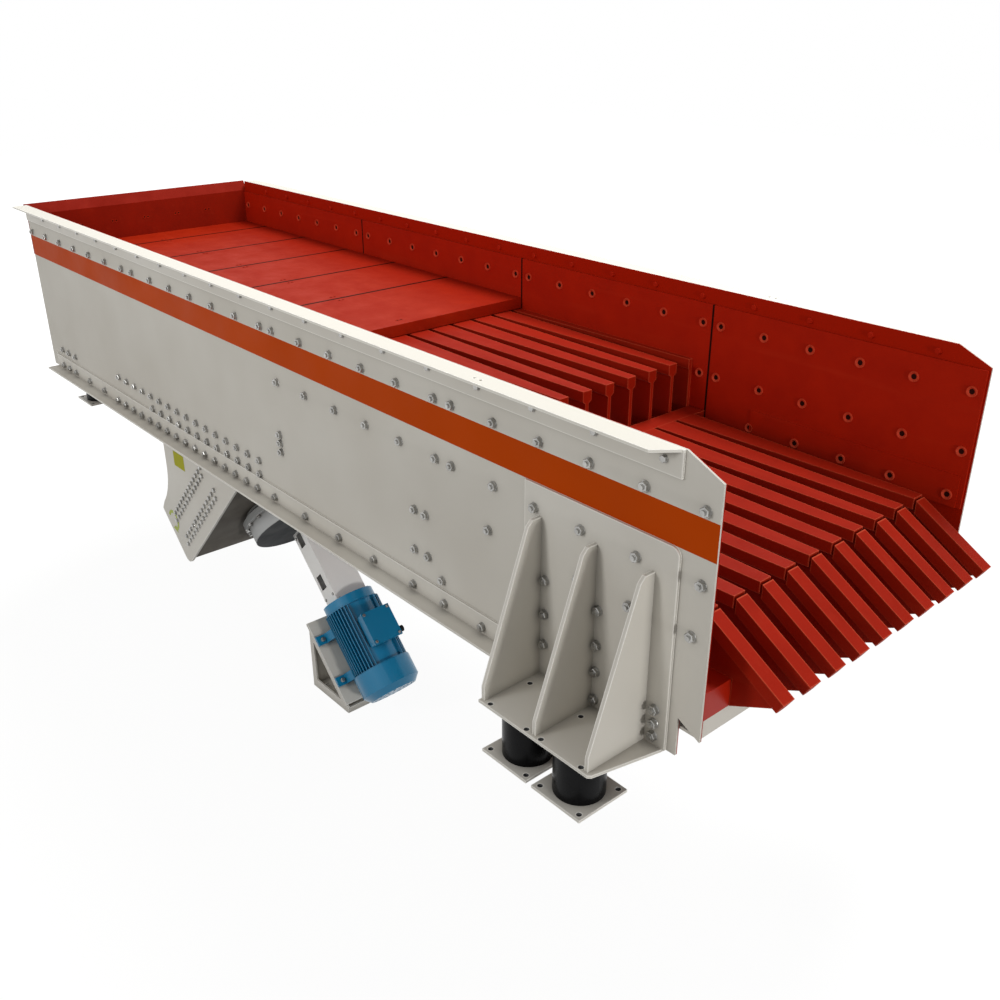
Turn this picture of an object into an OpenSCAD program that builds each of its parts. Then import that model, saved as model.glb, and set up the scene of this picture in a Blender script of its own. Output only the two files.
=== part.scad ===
// Linear vibratory grizzly feeder: a sprung steel trough with a feed pan and two
// finger decks, shaken along a 45 degree line by a two-shaft geared exciter.
// Millimetres. +X is the flow direction, +Z is up, Y = 0 is the middle of the trough.
// The origin is the centre of the four outer holes of the front spring feet.
// "s" is a distance back from the discharge edge, "t" a depth below the top edge.

/* [Trough] */
// Length of the side plates
trough_length = 6106; // [5088:1:7330]
// Height of the side plates
side_height = 1148; // [1120:1:1380]
// Clear width between the side liners
clear_width = 1666; // [1388:1:2000]
// Thickness of a side plate
plate_t = 12; // [8:1:20]
// Thickness of a side liner
liner_t = 12; // [8:1:20]
// Length of the chamfer at the front of the top edge
nose_chamfer = 150; // [100:1:200]
// Leg and flange width of the top and bottom edge angles
angle_w = 100; // [80:1:120]
// Thickness of the edge angles
angle_t = 10; // [6:1:14]

/* [Feed pan] */
// Depth of the pan's wearing surface below the top edge
pan_depth = 308; // [280:1:360]
// Distance of the pan's front lip behind the discharge edge
pan_front = 2789; // [2600:1:2900]
// Thickness of the wear plates
wear_t = 20; // [12:1:30]
// Thickness of the pan's carrying plate
pan_t = 12; // [8:1:20]
// Length of a full wear plate
wear_len = 576; // [480:1:680]
// Length of the front wear plate, measured from the lip
wear_first = 699; // [560:1:800]
// Depth of the lip bar that overhangs the upper bars
lip_h = 62; // [50:1:75]

/* [Grizzly bars] */
// Centre distance of neighbouring bars
bar_pitch = 152; // [145:1:182]
// Width of an upper bar's head at its discharge end
bar_front_w = 56; // [46:1:67]
// Width of a discharge finger
finger_w = 62; // [52:1:74]
// Widening of a bar's head per millimetre towards the feed end
bar_taper = 0.0515; // [0.03:0.0005:0.055]
// Thickness of a bar's web
bar_web = 20; // [14:1:26]
// Depth of the upper deck below the top edge
upper_depth = 374; // [372:1:380]
// Depth of the lower deck below the top edge
lower_depth = 625; // [600:1:650]
// Slope of the discharge fingers
finger_slope = 31; // [25:1:36]
// Reach of the fingers beyond the discharge edge
finger_reach = 217; // [180:1:260]

/* [Spring feet] */
// Diameter of a rubber spring
spring_d = 200; // [167:1:220]
// Height of a rubber spring
spring_h = 200; // [167:1:240]
// Bore of a rubber spring
spring_bore = 60; // [50:1:72]
// Distance between the two front springs of a side
spring_pitch = 280; // [270:1:330]
// Distance of the front springs' centre behind the discharge edge
front_spring_s = 512; // [500:1:530]
// Distance of the front springs' axes outside the side plate
front_spring_out = 192; // [170:1:200]
// Distance of the rear spring in front of the feed end
rear_spring_inset = 366; // [340:1:440]
// Distance of the rear springs' axes inside the side plate's outer face
rear_spring_in = 165; // [150:1:185]
// Side of a square foot plate
foot_w = 250; // [240:1:265]
// Thickness of a foot plate
foot_t = 12; // [8:1:20]
// Square pitch of the foot plate's holes
foot_hole_pitch = 203; // [195:1:210]
// Diameter of the foot plate's holes
foot_hole_d = 22; // [16:1:26]

/* [Exciter] */
// Slope of the shafts, which is the throw angle above the horizontal
throw_angle = 45; // [45:1:45]
// Distance of the exciter's mounting face behind the discharge edge, on the shaft axis
drive_s = 3719; // [3600:1:3900]
// Depth of the same point below the top edge
drive_t = 1602; // [1580:1:1640]
// Distance between the two shafts
shaft_spacing = 514; // [480:1:560]
// Number of teeth of each synchronising gear
gear_teeth = 36; // [30:1:43]
// Diameter of the shafts in the bearings
shaft_d = 110; // [92:1:130]
// Outer diameter of the shaft bearings
bearing_d = 240; // [220:1:260]
// Width of the shaft bearings
bearing_w = 80; // [66:1:90]
// Radius of the eccentric weights
weight_r = 245; // [204:1:250]
// Thickness of an eccentric weight
weight_t = 80; // [66:1:90]
// Radius of the round ends of the exciter's covers
cover_r = 359; // [345:1:375]
// Depth of the bridge beam that carries the exciter
bridge_depth = 396; // [380:1:420]

/* [Drive] */
// Shaft height of the motor
shaft_height = 225; // [225:1:270]
// Distance from the exciter's mounting face to the motor's drive end
motor_z = 740; // [730:1:800]
// Length of the motor body with its fan cover
motor_len = 656; // [640:1:700]
// Radius of the motor's fan cover
motor_r = 184; // [170:1:200]
// Diameter of the motor shaft's end
motor_shaft_d = 60; // [50:1:72]
// Number of cooling fins around the full circle of the frame
fin_count = 48; // [40:1:58]
// Width of the cardan guard
guard_w = 215; // [200:1:258]
// Radius of the cardan shaft's flanges
cardan_r = 60; // [50:1:72]
// Depth of the motor stand's base below the spring feet
stand_drop = 1394; // [1380:1:1500]

/* [Hidden] */
$fn = 64;

// Paint and rubber colours
paint = "#b9b3a8";
wear_red = "#b0301c";
liner_red = "#9c3a22";
dark_steel = "#4c4f50";
motor_blue = "#1f6f8f";
bright_steel = "#9a9c9e";
rubber_black = "#1d1d1f";

// Trough, across its width
bracket_t = foot_t;
half_clear = clear_width / 2;
half_in = half_clear + liner_t;
half_out = half_in + plate_t;
front_x = front_spring_s;
top_z = foot_t + spring_h + bracket_t + side_height;
nose_drop = 67;
throat_s = 98;
throat_t = side_height - 162;
tab_t = side_height - 112;

// Decks, along and below
lip_w = 40;
section_joints = [1382, pan_front - 4, 4437];
joint_gap = 2;
liner_top = 78;
strip_t = 5;
strip_s = [29, 1100];
wear_gap = 6;
upper_front = 1486;
upper_rear = pan_front + 61;
lower_front = 125;
lower_rear = 1385;
bar_rim = 25;
head_depth = 65;
upper_base = upper_depth + 306;
lower_base = lower_depth + 226;
bars_per_side = floor(half_clear / bar_pitch);
edge_bar_y = (bars_per_side + 0.5) * bar_pitch;
beam_wall = 12;
finger_gap = 10;
step_beam_s = 1480;
beam_w = 160;

// Spring brackets
front_gussets = [234, 500, 785];
gusset_t = 16;
gusset_top = 462;
gusset_knee = side_height - 58;
doubler_top = 340;
doubler_s = [138, 880];
doubler_r = 35;
bracket_s = [150, 805];
bracket_out = 310;
bracket_cut = 70;
gusset_out = 297;
spigot_d = spring_bore - 8;
spigot_h = 30;
front_spring_y = half_out + front_spring_out;
rear_spring_y = half_out - rear_spring_in;
rear_spring_s = trough_length - rear_spring_inset;

// Drive frame: z along the shafts, down and forward; x down and back; y across
drive_x = front_x - drive_s;
drive_z = top_z - drive_t;
shaft_y = shaft_spacing / 2;
bridge_bottom = 587;
bridge_wall = 20;
flange_t = 20;
flange_r = cover_r + 25;
housing_r = cover_r - 29;
housing_wall = 22;
housing_front = 53;
housing_rear = -bridge_depth - 37;
cover_len = 120;
cover_wall = 18;
run_gap = 0.05;
gear_w = 80;
gear_z = -190 - gear_w / 2;
weight_gap = 12;
hub_gap = 8;

// Cardan shaft and motor
cardan_flange_z = housing_front + cover_len + 22;
cardan_flange_t = 20;
ear_len = 47;
cross_a = cardan_flange_z + cardan_flange_t + ear_len;
hub_end = motor_z - 10;
hub_len = 125;
motor_flange_z = hub_end - hub_len;
cross_b = motor_flange_z - cardan_flange_t - ear_len;
cross_d = 24;
float_gap = 6;
ear_t = 16;
shield_len = 60;
frame_z = motor_z + shield_len;
frame_end = motor_z + motor_len - 181;
cowl_z = frame_end + 47;
motor_end = motor_z + motor_len;
barrel_r = motor_r - 28;
shield_r = motor_r - 19;
core_r = motor_r - 39;
rotor_r = motor_r - 92;
air_gap = 1;
foot_pitch_z = 286;
foot_z = motor_z + 149;
foot_hole_y = 178;
stand_top_t = 20;
stand_wall = 12;

// X of a point s behind the discharge edge, and Z of a point t below the top edge
function back(s) = front_x - s;
function below(t) = top_z - t;
// A point of the drive frame as a place in X and Z
function drive_point(x, z) = [
    drive_x - x * sin(throw_angle) + z * cos(throw_angle),
    drive_z - x * cos(throw_angle) - z * sin(throw_angle)
];
// Drive-frame x where a plane of constant z reaches the height h
function drive_reach(z, h) = (drive_z - h - z * sin(throw_angle)) / cos(throw_angle);

// Outline in X and Z, given as [s, t] pairs
module side_outline(points) polygon([for (p = points) [back(p[0]), below(p[1])]]);

// Sheet in the X-Z plane whose outer face is at y_out
module across(y_out, t) translate([0, y_out, 0]) rotate([90, 0, 0]) linear_extrude(t) children();

// Sheet in the Y-Z plane that starts at x and runs forward
module along(x, t) translate([x, 0, 0]) rotate([90, 0, 90]) linear_extrude(t) children();

// The right-hand copy of a left-hand piece
module right() mirror([0, 1, 0]) children();

// Everything inside is drawn in the drive frame
module drive() translate([drive_x, 0, drive_z]) rotate([0, 90 + throw_angle, 0]) children();

// Box from s0 to s1, t0 to t1, centred across the trough
module cross_box(s0, s1, t0, t1, half)
    translate([back(s1), -half, below(t1)]) cube([s1 - s0, 2 * half, t1 - t0]);

// Hollow box beam across the trough, open at its ends
module box_beam(s0, s1, t0, t1) {
    difference() {
        cross_box(s0, s1, t0, t1, half_in);
        cross_box(s0 + beam_wall, s1 - beam_wall, t0 + beam_wall, t1 - beam_wall, half_in + 1);
    }
}

// ---- Side walls ----

module side_plate() {
    color(paint) across(half_out, plate_t) side_outline([
        [nose_chamfer, 0], [0, nose_drop], [0, tab_t], [throat_s, throat_t],
        [throat_s, side_height], [trough_length, side_height], [trough_length, 0]
    ]);
}

// One liner section from s0 to s1, down to depth t1
module liner(s0, s1, t1) across(half_in, liner_t)
    side_outline([[s0, liner_top], [s1, liner_top], [s1, t1], [s0, t1]]);

module liners() color(liner_red) {
    liner(8, section_joints[0] - joint_gap, lower_depth + 65);
    liner(section_joints[0], section_joints[1] - joint_gap, lower_depth + 1);
    liner(section_joints[1], section_joints[2] - joint_gap, pan_depth);
    liner(section_joints[2], trough_length, pan_depth);
    // Second layer beside the lower bars, where the rock falls on the wall
    across(half_clear + 0.5, strip_t + 0.5) side_outline([
        [strip_s[0], lower_depth - 80], [strip_s[1], lower_depth - 80],
        [strip_s[1], lower_depth + 65], [strip_s[0], lower_depth + 65]
    ]);
}

// Angle along the top edge, its flange outwards, mitred at the nose
module top_angle() color(paint) {
    leg_front = nose_chamfer + 5;
    translate([back(trough_length), half_out, below(angle_w)])
        cube([trough_length - leg_front, angle_t, angle_w]);
    difference() {
        translate([0, 0, below(angle_t)]) linear_extrude(angle_t) polygon([
            [back(trough_length), half_out], [back(leg_front), half_out],
            [back(leg_front + 75), half_out + angle_w - 10],
            [back(trough_length), half_out + angle_w - 10]
        ]);
        // Two small holes side by side in the flange
        for (s = [1083, 1118]) translate([back(s), half_out + angle_w / 2, below(angle_t) - 1])
            cylinder(h = angle_t + 2, d = 14);
    }
}

// Angle along the bottom edge, behind the front spring bracket
module bottom_angle() color(paint) {
    s0 = doubler_s[1] + joint_gap;
    s1 = trough_length - 106;
    translate([back(s1), half_out, below(side_height)]) cube([s1 - s0, angle_t, angle_w]);
    translate([back(s1), half_out, below(side_height)]) cube([s1 - s0, angle_w - 10, angle_t]);
}

// ---- Pan and decks ----

module pan_plate() color(paint)
    cross_box(pan_front + lip_w, trough_length, pan_depth + wear_t, pan_depth + wear_t + pan_t,
        half_in);

module wear_plates() color(wear_red) {
    seams = [for (s = pan_front + wear_first; s < trough_length - 60; s = s + wear_len) s];
    starts = concat([pan_front + lip_w], seams);
    ends = concat(seams, [trough_length + wear_gap]);
    for (i = [0 : len(starts) - 1])
        cross_box(starts[i], ends[i] - wear_gap, pan_depth, pan_depth + wear_t, half_in);
}

module pan_lip() color(wear_red)
    cross_box(pan_front, pan_front + lip_w, pan_depth, pan_depth + lip_h, half_in);

module rear_plate() color(wear_red) across(half_out, 2 * half_out) side_outline([
    [trough_length, pan_depth + wear_t + pan_t], [trough_length, nose_drop],
    [trough_length + 38, 0], [trough_length + 52, 0],
    [trough_length + plate_t, nose_drop + 5],
    [trough_length + plate_t, pan_depth + wear_t + pan_t]
]);

// Angle that closes the step between the decks: a flat top and a leg down in front
module step_plate() color(wear_red) {
    s0 = lower_rear + 1;
    cross_box(s0, upper_front - joint_gap, lower_depth + 3, lower_depth + 3 + plate_t, half_in);
    cross_box(s0, s0 + plate_t, lower_depth + 3, upper_base, half_in);
}

// Cross-section of a bar's head: a vertical rim, then a taper down to the web
module head_section(w) {
    slope = (head_depth - bar_rim) / (64 - bar_web / 2);
    rim = head_depth - (w / 2 - bar_web / 2) * slope;
    polygon([
        [-w / 2, 0], [-w / 2, -rim], [1 - bar_web / 2, -head_depth],
        [bar_web / 2 - 1, -head_depth], [w / 2, -rim], [w / 2, 0]
    ]);
}

// Straight tapered head from s0 (w0 wide) back to s1, with its top at depth t
module tapered_head(s0, s1, t, w0) {
    w1 = w0 + bar_taper * (s1 - s0);
    intersection() {
        translate([0, 0, below(t)]) along(back(s1), s1 - s0) head_section(w1);
        translate([0, 0, below(t + head_depth + 1)]) linear_extrude(head_depth + 2) polygon([
            [back(s0), -w0 / 2], [back(s1), -w1 / 2], [back(s1), w1 / 2], [back(s0), w0 / 2]
        ]);
    }
}

module upper_bar() {
    tapered_head(upper_front, upper_rear, upper_depth, bar_front_w);
    across(bar_web / 2, bar_web) side_outline([
        [upper_front, upper_depth + head_depth - 5], [upper_rear, upper_depth + head_depth - 5],
        [upper_rear, upper_base], [upper_front, upper_base]
    ]);
}

// Half bar against the liner, with its web turned down along the wall
module edge_bar() {
    intersection() {
        translate([0, edge_bar_y, 0])
            tapered_head(upper_front, upper_rear, upper_depth, bar_front_w);
        translate([back(upper_rear), 0, 0])
            cube([upper_rear - upper_front, half_clear, top_z]);
    }
    across(half_clear, bar_web) side_outline([
        [upper_front, upper_depth], [upper_rear, upper_depth],
        [upper_rear, upper_base], [upper_front, upper_base]
    ]);
}

module upper_bars() color(wear_red) {
    for (side = [-1, 1], i = [0 : bars_per_side - 1])
        translate([0, side * (i + 0.5) * bar_pitch, 0]) upper_bar();
    for (side = [0, 1]) mirror([0, side, 0]) edge_bar();
}

// Lower bar: a tapered head, then a sloping discharge finger over the front beam
module lower_bar() {
    tapered_head(lower_front, lower_rear, lower_depth, finger_w + 1);
    finger_len = (lower_front + finger_reach) / cos(finger_slope);
    intersection() {
        translate([back(lower_front + 1), 0, below(lower_depth + 1)]) rotate([0, finger_slope, 0])
            rotate([90, 0, 90]) linear_extrude(finger_len) head_section(finger_w);
        cross_box(-finger_reach - 60, lower_front - finger_gap, 0, side_height, finger_w);
    }
    tip_t = lower_depth + (lower_front + finger_reach) * tan(finger_slope);
    across(bar_web / 2, bar_web) side_outline([
        [lower_front, lower_depth + head_depth - 15], [lower_rear, lower_depth + head_depth - 15],
        [lower_rear, upper_base + 10], [step_beam_s, upper_base + 10],
        [step_beam_s, lower_base], [8, lower_base], [8, lower_base + 113],
        [-finger_reach + 21, tip_t + 34], [-finger_reach + 10, tip_t + 8]
    ]);
}

module lower_bars() color(wear_red)
    for (side = [-1, 1], i = [0 : bars_per_side - 1])
        translate([0, side * (i + 0.5) * bar_pitch, 0]) lower_bar();

// ---- Cross beams ----

module front_beam() color(paint) box_beam(10, 110, lower_base, lower_base + 185);

module step_beam() color(wear_red) {
    box_beam(step_beam_s, step_beam_s + beam_w, upper_base, upper_base + 290);
    cross_box(lower_rear + 15, step_beam_s + 1, lower_base, lower_base + 20, half_in);
}

module lip_beam() color(wear_red) box_beam(2671, 2811, upper_base, upper_base + 190);

module pan_beams() color(paint) {
    count = 5;
    first = pan_front + 191;
    last = trough_length - 126;
    under = pan_depth + wear_t + pan_t;
    for (i = [0 : count - 1]) {
        s = first + i * (last - first) / (count - 1);
        box_beam(s - 75, s + 75, under, under + 150);
    }
}

// ---- Spring brackets, springs and feet ----

// Four holes on a square pitch through a plate that starts at z
module square_holes(z, t) {
    h = foot_hole_pitch / 2;
    for (x = [-h, h], y = [-h, h]) translate([x, y, z - 1]) cylinder(h = t + 2, d = foot_hole_d);
}

// Outer gusset: wide at the base plate, narrow at its top
module front_gusset(s) along(back(s + gusset_t), gusset_t) polygon([
    [half_out + plate_t, below(gusset_top)], [half_out + 57, below(gusset_top)],
    [half_out + 80, below(gusset_top + 23)], [half_out + gusset_out, below(gusset_knee)],
    [half_out + gusset_out, below(side_height)], [half_out + plate_t, below(side_height)]
]);

module front_bracket() color(paint) {
    r = doubler_r;
    s0 = doubler_s[0];
    s1 = doubler_s[1];
    // Doubler on the side plate, its upper front corner rounded
    difference() {
        across(half_out + plate_t, plate_t) side_outline([
            [s0, doubler_top], [s1, doubler_top], [s1, side_height], [s0, side_height]
        ]);
        across(half_out + plate_t + 1, plate_t + 2) difference() {
            translate([back(s0 + r), below(doubler_top + r)]) square(r + 1);
            translate([back(s0 + r), below(doubler_top + r)]) circle(r);
        }
    }
    for (s = front_gussets) front_gusset(s);
    // Base plate, its outer front corner cut off
    difference() {
        translate([0, 0, below(side_height + bracket_t)]) linear_extrude(bracket_t) polygon([
            [back(bracket_s[1]), half_out - plate_t], [back(bracket_s[0]), half_out - plate_t],
            [back(bracket_s[0]), half_out + plate_t],
            [back(bracket_s[0] + bracket_cut - 6), half_out + bracket_out - 12],
            [back(bracket_s[0] + bracket_cut + 6), half_out + bracket_out],
            [back(bracket_s[1]), half_out + bracket_out]
        ]);
        for (x = [-1, 1]) translate([x * spring_pitch / 2, front_spring_y, 0])
            square_holes(below(side_height + bracket_t), bracket_t);
    }
    for (x = [-1, 1]) translate([x * spring_pitch / 2, front_spring_y, 0]) upper_spigot();
}

// Locating spigot under a bracket, inside the spring's bore
module upper_spigot()
    translate([0, 0, foot_t + spring_h - spigot_h]) cylinder(h = spigot_h + 1, d = spigot_d);

module rear_bracket() color(paint) {
    s0 = rear_spring_s - 150;
    s1 = rear_spring_s + 150;
    inner = rear_spring_y - 132;
    web_y = half_in - plate_t;
    across(half_in, plate_t) side_outline([
        [s0, side_height - 198], [s1, side_height - 198], [s1, side_height], [s0, side_height]
    ]);
    for (s = [s0, rear_spring_s - gusset_t / 2, s1 - gusset_t])
        along(back(s + gusset_t), gusset_t) polygon([
            [web_y + 1, below(side_height - 188)], [web_y - 60, below(side_height - 188)],
            [inner + 10, below(side_height - 40)], [inner + 10, below(side_height)],
            [web_y + 1, below(side_height)]
        ]);
    difference() {
        translate([back(s1), inner, below(side_height + bracket_t)])
            cube([s1 - s0, half_out - inner, bracket_t]);
        translate([back(rear_spring_s), rear_spring_y, 0])
            square_holes(below(side_height + bracket_t), bracket_t);
    }
    translate([back(rear_spring_s), rear_spring_y, 0]) upper_spigot();
}

module spring() translate([0, 0, foot_t]) difference() {
    cylinder(h = spring_h, d = spring_d);
    translate([0, 0, -1]) cylinder(h = spring_h + 2, d = spring_bore);
}

module foot() {
    difference() {
        translate([-foot_w / 2, -foot_w / 2, 0]) cube([foot_w, foot_w, foot_t]);
        square_holes(0, foot_t);
    }
    translate([0, 0, foot_t - 1]) cylinder(h = spigot_h + 1, d = spigot_d);
}

// The places of the front and of the rear springs
module at_front_springs() for (x = [-1, 1], y = [-1, 1])
    translate([x * spring_pitch / 2, y * front_spring_y, 0]) children();

module at_rear_springs() for (y = [-1, 1])
    translate([back(rear_spring_s), y * rear_spring_y, 0]) children();

module front_springs() color(rubber_black) at_front_springs() spring();
module rear_springs() color(rubber_black) at_rear_springs() spring();
module front_feet() color(paint) at_front_springs() foot();
module rear_feet() color(paint) at_rear_springs() foot();

// ---- Bridge that carries the exciter ----

// Two equal circles side by side, joined by straight flanks
module obround(r) {
    for (y = [-shaft_y, shaft_y]) translate([0, y]) circle(r);
    translate([-r, -shaft_y]) square([2 * r, shaft_spacing]);
}

// Profile of the beam in the drive frame's x and z, grown inwards by w
module bridge_profile(w) {
    roof = below(940 + w);
    polygon([
        [drive_reach(-w, roof), -w], [bridge_bottom - w, -w],
        [bridge_bottom - w, -bridge_depth + w],
        [drive_reach(-bridge_depth + w, roof), -bridge_depth + w]
    ]);
}

module bridge_beam() color(paint) drive() difference() {
    half = half_in - gusset_t - run_gap;
    across(half, 2 * half) bridge_profile(0);
    across(half_in, 2 * half_in) bridge_profile(bridge_wall);
    translate([0, 0, -bridge_depth - 1]) linear_extrude(bridge_depth + 2) obround(housing_r + 0.3);
}

// End plate, bolted inside the side plate and to the end of the beam
module bridge_plate() {
    toe = 653;
    toe_r = 60;
    heel_z = -bridge_depth - 25;
    fillet_r = 430;
    fillet_s = 4313;
    fillet_t = side_height + 252;
    fillet = [for (a = [0 : 5 : 45])
        [back(fillet_s + fillet_r * (1 - cos(a))), below(fillet_t + fillet_r * sin(a))]];
    toe_arc = [for (a = [0 : 15 : 90])
        drive_point(toe - toe_r * (1 - cos(a)), 12 - toe_r * (1 - sin(a)))];
    color(paint) across(half_in, gusset_t) polygon(concat(
        [[back(2940), below(912)], [back(2940), below(side_height)],
            [drive_point(drive_reach(12, below(side_height)), 12)[0], below(side_height)]],
        [for (i = [len(toe_arc) - 1 : -1 : 0]) toe_arc[i]],
        [drive_point(toe, heel_z)],
        [for (i = [len(fillet) - 1 : -1 : 0]) fillet[i]],
        [[back(fillet_s), below(side_height)], [back(4930), below(side_height)],
            [back(4930), below(912)]]
    ));
}

// ---- Exciter ----

// Obround cup with its rim at z; it opens towards the housing, dir is the way it points
module exciter_cover(z, dir, r, rim_r) translate([0, 0, z]) mirror([0, 0, dir < 0 ? 1 : 0])
    difference() {
        union() {
            linear_extrude(flange_t) obround(rim_r);
            linear_extrude(cover_len) obround(r);
        }
        translate([0, 0, -1]) linear_extrude(cover_len - cover_wall + 1) obround(r - cover_wall);
        if (dir > 0)
            translate([0, -shaft_y, 0]) cylinder(h = cover_len + 1, d = shaft_d - 20 + 2 * run_gap);
    }

module exciter_cover_front() color(dark_steel) drive()
    exciter_cover(housing_front, 1, cover_r, flange_r);

module exciter_cover_rear() color(dark_steel) drive()
    exciter_cover(housing_rear, -1, housing_r - 4, housing_r);

module exciter_housing() color(dark_steel) drive() {
    depth = housing_front - housing_rear;
    difference() {
        union() {
            translate([0, 0, housing_rear]) linear_extrude(depth) obround(housing_r);
            translate([0, 0, housing_front - flange_t]) linear_extrude(flange_t) obround(flange_r);
            linear_extrude(12) obround(housing_r + 20);
        }
        translate([0, 0, housing_rear + bearing_w])
            linear_extrude(depth - 2 * bearing_w) obround(housing_r - housing_wall);
        for (y = [-shaft_y, shaft_y]) translate([0, y, housing_rear - 1])
            cylinder(h = depth + 2, d = bearing_d);
    }
}

module shaft_bearing(d_out, d_in, w) difference() {
    cylinder(h = w, d = d_out);
    translate([0, 0, -1]) cylinder(h = w + 2, d = d_in + 2 * run_gap);
}

module exciter_bearings() color(bright_steel) drive()
    for (y = [-shaft_y, shaft_y], z = [housing_rear, housing_front - bearing_w])
        translate([0, y, z]) shaft_bearing(bearing_d, shaft_d, bearing_w);

// Plain shaft from the rear weights to the front weights, thicker at the gear
module exciter_shaft() {
    z0 = housing_rear - weight_gap - weight_t - hub_gap;
    z1 = housing_front + weight_gap + weight_t + hub_gap;
    inner0 = housing_rear + bearing_w + hub_gap;
    inner1 = housing_front - bearing_w - hub_gap;
    translate([0, 0, z0]) cylinder(h = z1 - z0, d = shaft_d);
    translate([0, 0, inner0]) cylinder(h = inner1 - inner0, d = shaft_d + 20);
}

module drive_shaft() color(bright_steel) drive() translate([0, -shaft_y, 0]) {
    exciter_shaft();
    translate([0, 0, housing_front]) cylinder(h = cardan_flange_z - housing_front, d = shaft_d - 20);
}

module idler_shaft() color(bright_steel) drive() translate([0, shaft_y, 0]) exciter_shaft();

// Eccentric weights: half discs that hang down at rest, one outside each bearing
module weights() for (z = [housing_rear - weight_gap - weight_t, housing_front + weight_gap])
    translate([0, 0, z]) difference() {
        union() {
            intersection() {
                cylinder(h = weight_t, r = weight_r);
                translate([10, -weight_r, 0]) cube([weight_r, 2 * weight_r, weight_t]);
            }
            cylinder(h = weight_t, d = shaft_d + 50);
        }
        translate([0, 0, -1]) cylinder(h = weight_t + 2, d = shaft_d);
    }

module drive_weights() color(dark_steel) drive() translate([0, -shaft_y, 0]) weights();
module idler_weights() color(dark_steel) drive() translate([0, shaft_y, 0]) weights();

// Involute tooth flanks, as angles from the tooth's middle at a given radius
pitch_r = shaft_spacing / 2;
tooth_module = shaft_spacing / gear_teeth;
pressure = 20;
base_r = pitch_r * cos(pressure);
tip_r = pitch_r + tooth_module * 0.95;
root_r = pitch_r - tooth_module * 1.2;
backlash = 0.15;
function involute(a) = tan(a) * 180 / PI - a;
function flank(r) = 90 / gear_teeth - backlash + involute(pressure)
    - involute(acos(min(1, base_r / r)));

module gear_outline(turn) {
    steps = 5;
    low = max(base_r, root_r) + 0.5;
    radii = [for (i = [0 : steps]) low + (tip_r - low) * i / steps];
    polygon([for (k = [0 : gear_teeth - 1]) let (mid = turn + k * 360 / gear_teeth)
        each concat(
            [root_r * [cos(mid - flank(low) - 0.4), sin(mid - flank(low) - 0.4)]],
            [for (r = radii) r * [cos(mid - flank(r)), sin(mid - flank(r))]],
            [for (i = [steps : -1 : 0]) let (r = radii[i])
                r * [cos(mid + flank(r)), sin(mid + flank(r))]],
            [root_r * [cos(mid + flank(low) + 0.4), sin(mid + flank(low) + 0.4)]]
        )]);
}

module gear(turn) color(bright_steel) translate([0, 0, gear_z]) difference() {
    linear_extrude(gear_w) gear_outline(turn);
    translate([0, 0, -1]) cylinder(h = gear_w + 2, d = shaft_d + 20);
    for (i = [0 : 5]) rotate([0, 0, i * 60 + 30]) translate([pitch_r * 0.6, 0, -1])
        cylinder(h = gear_w + 2, r = pitch_r * 0.18);
}

module drive_gear() drive() translate([0, -shaft_y, 0]) gear(90);
module idler_gear() drive() translate([0, shaft_y, 0]) gear(-90 + 180 / gear_teeth);

// ---- Cardan shaft ----

// Flange with two ears, its back face at z = 0; the ears' bore is hole_d wide
module flange_yoke(hole_d) {
    cylinder(h = cardan_flange_t, r = cardan_r);
    ears(cardan_flange_t - 1, ear_len + 1, hole_d);
}

// Pair of ears that stand up from z by h, with a cross bore at their end
module ears(z, h, hole_d) difference() {
    for (y = [-cardan_r + 6, cardan_r - 6 - ear_t]) translate([-cardan_r / 2, y, z]) {
        cube([cardan_r, ear_t, h]);
        translate([cardan_r / 2, ear_t, h]) rotate([90, 0, 0]) cylinder(h = ear_t, d = cardan_r);
    }
    translate([0, cardan_r, z + h]) rotate([90, 0, 0]) cylinder(h = 2 * cardan_r, d = hole_d);
}

// Ears' bores are wide here, so that this end floats as the trough strokes
module exciter_yoke() color(dark_steel) drive() translate([0, -shaft_y, cardan_flange_z])
    flange_yoke(cross_d + 2 * float_gap);

module motor_yoke() color(dark_steel) drive() translate([0, -shaft_y, motor_flange_z])
    mirror([0, 0, 1]) flange_yoke(cross_d);

module cardan_cross() {
    half = cardan_r - 12;
    for (a = [0, 90]) rotate([0, 0, a]) translate([0, half, 0]) rotate([90, 0, 0])
        cylinder(h = 2 * half, d = cross_d);
    cube([38, 38, 34], center = true);
}

module cardan_crosses() color(bright_steel) drive()
    for (z = [cross_a, cross_b]) translate([0, -shaft_y, z]) cardan_cross();

module cardan_shaft() color(dark_steel) drive() translate([0, -shaft_y, 0]) {
    collar = 12;
    root_a = cross_a + ear_len;
    root_b = cross_b - ear_len;
    translate([0, 0, root_a - 1]) cylinder(h = root_b - root_a + 2, d = 64);
    translate([0, 0, root_a]) cylinder(h = collar, r = cardan_r);
    translate([0, 0, root_b - collar]) cylinder(h = collar, r = cardan_r);
    translate([0, 0, root_a]) mirror([0, 0, 1]) rotate([0, 0, 90]) ears(-1, ear_len + 1, cross_d);
    translate([0, 0, root_b]) rotate([0, 0, 90]) ears(-1, ear_len + 1, cross_d);
}

module motor_hub() color(dark_steel) drive() translate([0, -shaft_y, motor_flange_z])
    difference() {
        union() {
            cylinder(h = cardan_flange_t, r = cardan_r);
            cylinder(h = hub_len, d = motor_shaft_d + 36);
        }
        translate([0, 0, 10]) cylinder(h = hub_len, d = motor_shaft_d);
    }

// ---- Guard over the cardan shaft ----

guard_top = -80;
guard_low = 78;
guard_z0 = cardan_flange_z + 20;
guard_z1 = motor_z - 8;
sheet_t = 3;

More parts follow.
